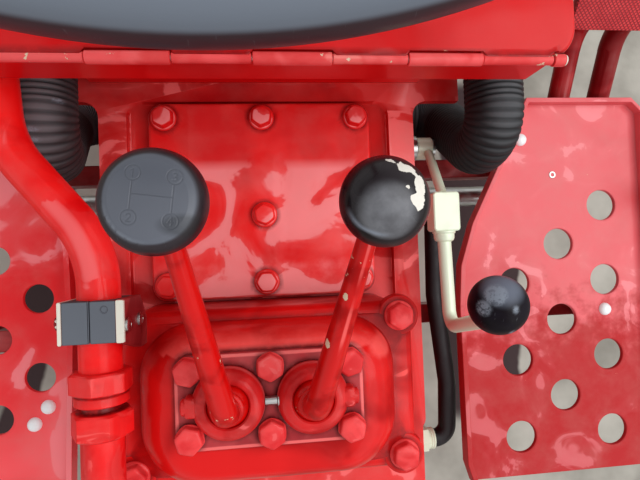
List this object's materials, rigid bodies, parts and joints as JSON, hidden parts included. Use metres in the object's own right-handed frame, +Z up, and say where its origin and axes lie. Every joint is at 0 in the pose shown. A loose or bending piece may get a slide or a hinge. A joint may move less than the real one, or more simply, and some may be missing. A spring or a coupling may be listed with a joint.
{
  "type": "vintage tractor driver's station on its gearbox housing",
  "caption": "Tractor midsection: gearbox housing with gear levers, footplates, pedals, tool box, air hoses, steering column and wheel.",
  "frame": {"origin": "on the floor at the middle of the housing's flat foot", "axes": "+X to the driver's right, +Y forward along the gearbox shafts, +Z up"},
  "size_m": [0.794, 0.7534, 0.8575],
  "materials": {
    "red_casting": "gloss",
    "red_sheet": "gloss",
    "dark_red_paint": "satin",
    "bare_steel": "machined",
    "zinc_plate": "passivated zinc",
    "black_knob": "worn gloss",
    "black_clamp": "matte",
    "black_rubber": "matte",
    "wheel_rim": "satin"
  },
  "bodies": {
    "base": {"gearbox_housing": "red_casting", "inspection_cover": "red_casting", "cover_bolts": "red_casting", "shift_tower": "red_casting", "tower_bolts": "red_casting", "tower_plate": "red_casting", "plate_bolts": "red_casting", "left_socket": "red_casting", "right_socket": "red_casting", "socket_link": "bare_steel", "right_cross_pin": "bare_steel", "front_retainer": "bare_steel", "rear_retainer": "bare_steel", "input_shaft": "bare_steel", "output_shaft": "bare_steel", "drain_plug": "bare_steel", "feed_pipe": "red_casting", "union_nut": "red_casting", "feed_elbow": "red_casting", "clamp_halves": "black_clamp", "clamp_bracket": "dark_red_paint", "dash_beam": "red_casting", "tool_box": "red_sheet", "hinge_pin": "bare_steel", "left_air_hose": "black_rubber", "right_air_hose": "black_rubber", "hose_spigots": "dark_red_paint", "side_hose": "black_rubber", "side_hose_unions": "bare_steel", "left_footplate": "red_sheet", "right_footplate": "red_sheet", "plate_brackets": "dark_red_paint", "pedal_shafts": "bare_steel", "valve_shaft": "bare_steel", "column_bracket": "red_casting", "steering_column": "red_casting"},
    "left_gate": {"left_cross_pin": "bare_steel"},
    "left_gear_lever": {"left_lever": "red_casting", "left_knob": "black_knob"},
    "right_gear_lever": {"right_lever": "red_casting", "right_knob": "black_knob"},
    "valve_lever": {"valve_lever": "zinc_plate", "valve_block": "zinc_plate", "valve_ball": "black_knob"},
    "lid": {"box_lid": "red_sheet"},
    "brake": {"brake_pedal": "red_casting"},
    "clutch": {"clutch_pedal": "red_casting"},
    "steering": {"steering_wheel": "wheel_rim", "steering_shaft": "bare_steel"}
  },
  "joints": [
    {"name": "left_lever_sideways", "type": "hinge", "parent": "base", "child": "left_gate", "pos_m": [-0.0285, -0.1, 0.4505], "axis": [0, 1, 0], "range_deg": [-7, 7]},
    {"name": "left_lever_fore_aft", "type": "hinge", "parent": "left_gate", "child": "left_gear_lever", "pos_m": [-0.0285, -0.1, 0.4505], "axis": [-1, 0, 0], "range_deg": [-10, 10]},
    {"name": "right_lever_fore_aft", "type": "hinge", "parent": "base", "child": "right_gear_lever", "pos_m": [0.0285, -0.1, 0.4505], "axis": [-1, 0, 0], "range_deg": [-10, 10]},
    {"name": "valve_lever_turn", "type": "hinge", "parent": "base", "child": "valve_lever", "pos_m": [0.17, 0.102, 0.3], "axis": [1, 0, 0], "range_deg": [-8, 12]},
    {"name": "lid_hinge", "type": "hinge", "parent": "base", "child": "lid", "pos_m": [0, 0.122, 0.48], "axis": [1, 0, 0], "range_deg": [0, 80]},
    {"name": "brake_turn", "type": "hinge", "parent": "base", "child": "brake", "pos_m": [0.342, 0.06, 0.215], "axis": [-1, 0, 0], "range_deg": [0, 14], "stiffness_Nm_per_rad": 25, "springref_deg": -22.92},
    {"name": "clutch_turn", "type": "hinge", "parent": "base", "child": "clutch", "pos_m": [-0.342, 0.06, 0.215], "axis": [-1, 0, 0], "range_deg": [0, 14], "stiffness_Nm_per_rad": 25, "springref_deg": -22.92},
    {"name": "steering_turn", "type": "hinge", "parent": "base", "child": "steering", "pos_m": [-0.014, 0.241, 0.759], "axis": [0, -0.4226, 0.9063], "range_deg": [-540, 540]}
  ]
}
